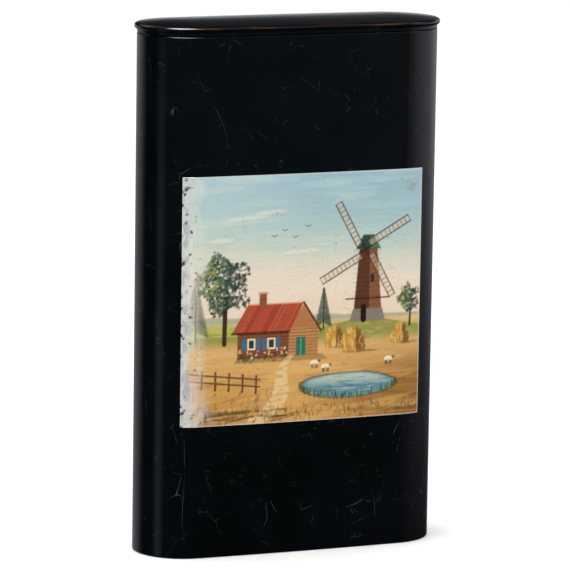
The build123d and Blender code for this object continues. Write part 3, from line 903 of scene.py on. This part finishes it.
# %% Floor
FLOOR_HALF = 3.0
CHALK = "#fbfbfa"
corners = [(-FLOOR_HALF, -FLOOR_HALF, 0), (FLOOR_HALF, -FLOOR_HALF, 0), (FLOOR_HALF, FLOOR_HALF, 0),
           (-FLOOR_HALF, FLOOR_HALF, 0)]
floor_mesh = bpy.data.meshes.new("floor")
floor_mesh.from_pydata(corners, [], [(0, 1, 2, 3)])
floor = bpy.data.objects.new("floor", floor_mesh)
bpy.context.collection.objects.link(floor)
floor.visible_glossy = False
chalk, chalk_shader = new_material("matt_white_floor", Roughness=0.9, Specular_IOR_Level=0.0)
chalk_shader.inputs["Base Color"].default_value = linear(CHALK)
floor_mesh.materials.append(chalk)
print("The floor is", 2 * FLOOR_HALF, "m across")

# %% [markdown]
# The dark gloss only shows what it mirrors. That was a dim room in front, a broad pale window low down on
# the right, which greys the right end, a narrow one on the left, and lamps high in front, one of which
# puts a short bright streak on the bead's left end. So the sky is even white for the camera and for matt
# surfaces, and for mirror images it gives each of those by direction, the X, Y and Z of the way to the
# sky. A limit is one such value with the places where it counts as 0 and as 1, and what comes later covers
# what came before.

# %% Sky
WHITE, DARKNESS = "#fdfdff", "#16181a"
NARROW_WINDOW_Y = -0.18
world = bpy.data.worlds.new("studio")
bpy.context.scene.world = world
world.use_nodes = True
direction = node(world, "ShaderNodeTexCoord").outputs["Generated"]
heading = node(world, "ShaderNodeSeparateXYZ", {0: direction})
X, Y, Z = (heading.outputs[axis] for axis in "XYZ")
above_floor = (Z, -0.23, -0.07)
beside = node(world, "ShaderNodeMath", {0: Y, 1: NARROW_WINDOW_Y}, operation="SUBTRACT")
beside = node(world, "ShaderNodeMath", {0: beside.outputs[0]}, operation="ABSOLUTE").outputs[0]
SURROUNDINGS = {
    "room": ("#434c52", (Y, 0.0, -0.6), above_floor, (Z, 0.3, 0.0)),
    "table": ("#9a9aa2", (Y, 0.56, 0.88), (Z, 0.2, -0.1)),
    "narrow window": ("#7c90a6", (X, -0.6, -0.8), (beside, 0.26, 0.03), (Z, -0.08, -0.16)),
    "curtain": ("#5c5d62", (X, 0.24, 0.62), above_floor, (Z, 0.5, 0.15)),
    "broad window": ("#dcdbe6", (X, 0.42, 0.97), above_floor, (Z, 0.5, 0.15)),
    "ceiling": ("#857a70", (Z, 0.2, 0.4), (Y, 0.3, 0.0)),
    "skylight": ("#d0d0d4", (Z, 0.35, 0.55), (Y, 0.4, 0.7), (X, 0.2, 0.0)),
    "far wall": ("#d2d2d8", (Y, 0.75, 0.92), (Z, 0.12, -0.02), (Z, -0.14, -0.06)),
}
LAMPS = {
    "high lamp": (42.0, (Z, 0.72, 0.82), (Z, 0.98, 0.93), (X, -0.65, -0.45), (X, 0.35, -0.35),
                  (Y, 0.05, -0.1)),
    "side lamp": (1.7, (X, 0.36, 0.62), (Z, 0.42, 0.6), (Z, 0.9, 0.78), (Y, 0.1, -0.15)),
}
mirrored = linear(DARKNESS)
for colour, *limits in SURROUNDINGS.values():
    mirrored = cover(world, mirrored, linear(colour), within(world, *limits))
for glow, *limits in LAMPS.values():
    mirrored = cover(world, mirrored, (glow, glow, glow, 1.0), within(world, *limits))
ray = node(world, "ShaderNodeLightPath")
lit = cover(world, linear(WHITE), mirrored, ray.outputs["Is Glossy Ray"])
connect(world, lit, world.node_tree.nodes["Background"].inputs["Color"])
print("Mirror images show:", ", ".join([*SURROUNDINGS, *LAMPS]))

# %% [markdown]
# A softbox overhead adds what an even sky can't: the soft shadow at the foot and the fine glints on round
# edges. Colours go to the screen unchanged, so that the white ground stays white.

# %% Softbox
SOFTBOX_PLACE = np.array([-0.1, 0.0, 1.1])
SOFTBOX_AIM = np.array([0.0, 0.0, 0.07])
SOFTBOX_SIZE, SOFTBOX_WATTS = 0.42, 6
towards = SOFTBOX_AIM - SOFTBOX_PLACE
tilt = math.acos(-towards[2] / np.linalg.norm(towards))
light = bpy.data.lights.new("overhead", "AREA")
light.shape, light.size, light.energy = "SQUARE", SOFTBOX_SIZE, SOFTBOX_WATTS
softbox = bpy.data.objects.new("overhead", light)
bpy.context.collection.objects.link(softbox)
softbox.location = SOFTBOX_PLACE
softbox.rotation_euler = (tilt, 0, math.atan2(-towards[0], towards[1]))
bpy.context.scene.view_settings.view_transform = "Standard"
print("The softbox gives", light.energy, "W")

# %% [markdown]
# ## Camera
# The camera stands in front, a little to the left and slightly above, with a long lens. Its place was
# fitted to the outline, the seam and the panel's corners in the 570 pixel photograph. The uprights there
# were made parallel and this camera's aren't, so the two come near but don't meet exactly.

# %% Camera
IMAGE_PIXELS = 570
FOCAL_PIXELS = 4371
SENSOR = 36.0
AZIMUTH, ELEVATION, ROLL = (math.radians(v) for v in (-22.53, 9.46, 0.87))
AIM = np.array([0.1, 0.0, 65.83]) * MM
DISTANCE = 1.1

forward = np.array([-math.sin(AZIMUTH) * math.cos(ELEVATION), math.cos(AZIMUTH) * math.cos(ELEVATION),
                    -math.sin(ELEVATION)])
level = np.array([math.cos(AZIMUTH), math.sin(AZIMUTH), 0.0])
upright = np.cross(level, forward)
right = level * math.cos(ROLL) + upright * math.sin(ROLL)
top = upright * math.cos(ROLL) - level * math.sin(ROLL)
lens = bpy.data.cameras.new("camera")
lens.sensor_width = SENSOR
lens.lens = FOCAL_PIXELS / IMAGE_PIXELS * SENSOR
camera = bpy.data.objects.new("camera", lens)
bpy.context.collection.objects.link(camera)
matrix = np.eye(4)
matrix[:3, 0], matrix[:3, 1], matrix[:3, 2], matrix[:3, 3] = right, top, -forward, AIM - forward * DISTANCE
camera.matrix_world = mathutils.Matrix(matrix.tolist())
bpy.context.scene.camera = camera
print("Camera at", np.round(matrix[:3, 3], 3).tolist(), "lens", round(lens.lens, 1), "mm")
